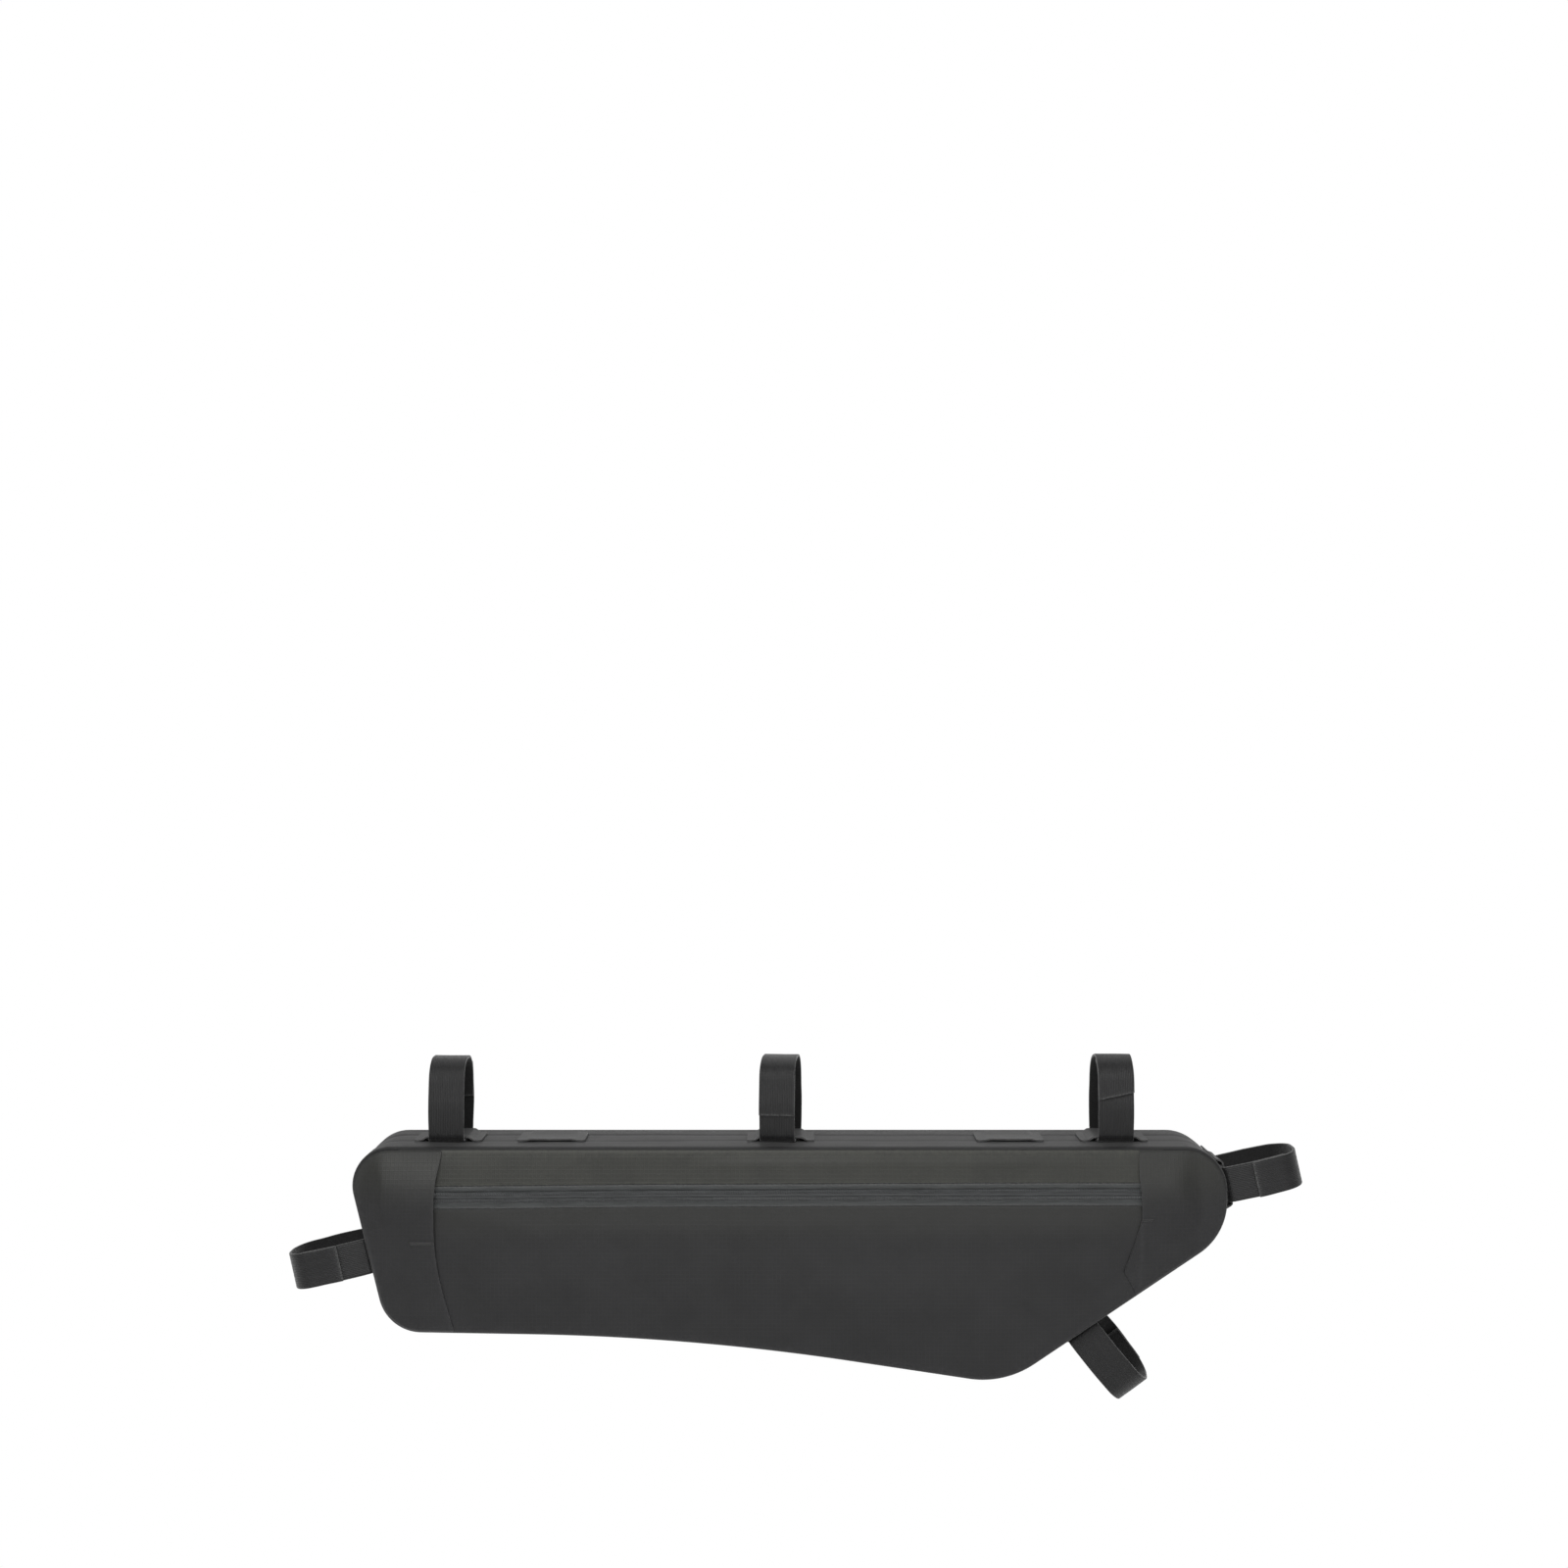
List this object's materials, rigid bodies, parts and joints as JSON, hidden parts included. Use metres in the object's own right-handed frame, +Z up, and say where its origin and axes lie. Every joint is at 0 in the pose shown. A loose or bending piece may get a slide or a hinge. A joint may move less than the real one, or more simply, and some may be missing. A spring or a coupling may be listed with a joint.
{
  "type": "bicycle frame bag",
  "caption": "Slim closed half-frame bag with a zip along one side and strap loops that hang it from the top tube and steady it on the seat, head and down tubes.",
  "frame": {"origin": "on the top tube's axis, inside the middle strap loop", "axes": "+X along the bag from the seat tube towards the head tube, +Y away from the zip side, +Z up"},
  "size_m": [0.5768, 0.0721, 0.1964],
  "materials": {
    "body_fabric": "coated ripstop, low sheen",
    "olive_fabric": "coated ripstop, low sheen",
    "gusset_fabric": "coated ripstop, low sheen",
    "zip_cloth": "coated tape, satin",
    "zip_plastic": "satin",
    "slider_metal": "satin",
    "patch_fabric": "coated, satin",
    "webbing": "woven band"
  },
  "bodies": {
    "root": {"gusset_rear": "gusset_fabric", "gusset_head": "gusset_fabric", "back_panel": "body_fabric", "upper_panel": "olive_fabric", "lower_panel": "body_fabric", "rear_end_panel": "body_fabric", "head_end_panel": "body_fabric", "zip_tape": "zip_cloth", "zip_coil": "zip_plastic", "zip_slider": "slider_metal", "top_rear_patch": "patch_fabric", "top_rear_spare_patch": "patch_fabric", "top_middle_patch": "patch_fabric", "top_head_spare_patch": "patch_fabric", "top_head_patch": "patch_fabric", "seat_tube_patch": "patch_fabric", "head_tube_patch": "patch_fabric", "down_tube_patch": "patch_fabric", "top_rear_strap": "webbing", "top_middle_strap": "webbing", "top_head_strap": "webbing", "seat_tube_strap": "webbing", "head_tube_strap": "webbing", "down_tube_strap": "webbing"}
  },
  "joints": []
}
